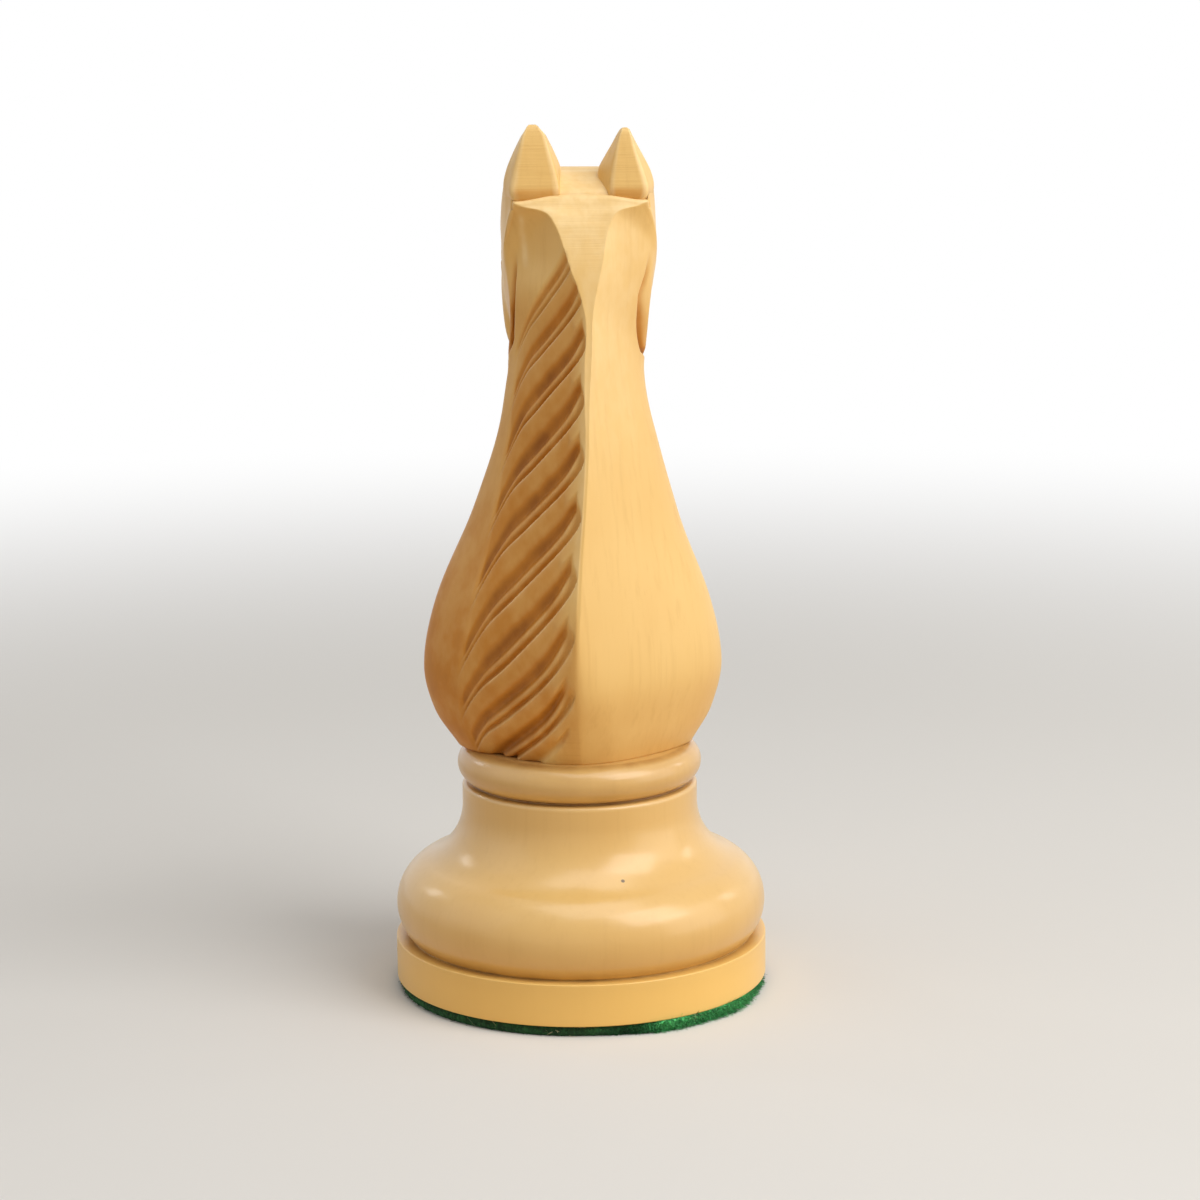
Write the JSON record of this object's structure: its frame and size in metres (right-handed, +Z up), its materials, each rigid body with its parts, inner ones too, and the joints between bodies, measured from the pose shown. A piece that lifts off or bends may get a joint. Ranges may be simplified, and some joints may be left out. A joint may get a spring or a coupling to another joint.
{
  "type": "chess knight",
  "caption": "Carved wooden chess knight: a horse's head and neck with a one-sided mane, pegged to a turned round base that is weighted inside and lined with felt underneath.",
  "frame": {"origin": "centre of the felt's underside, on the turning axis of the base", "axes": "+Z up the turning axis, +Y the way the horse faces, +X to the horse's right; the mane is on the -X side"},
  "size_m": [0.0355, 0.0354, 0.0821],
  "materials": {
    "horse_wood": "carved pale boxwood, satin lacquer, brown stain left in the cuts",
    "base_wood": "turned pale boxwood, polished lacquer",
    "dowel_wood": "bare beech",
    "weight_iron": "plain cut bar",
    "plug_wood": "bare wood, sanded flush",
    "green_felt": "short-napped wool felt"
  },
  "bodies": {
    "root": {"carved_horse": "horse_wood", "turned_base": "base_wood", "joint_dowel": "dowel_wood", "weight_slug": "weight_iron", "pocket_plug": "plug_wood", "base_felt": "green_felt"}
  },
  "joints": []
}
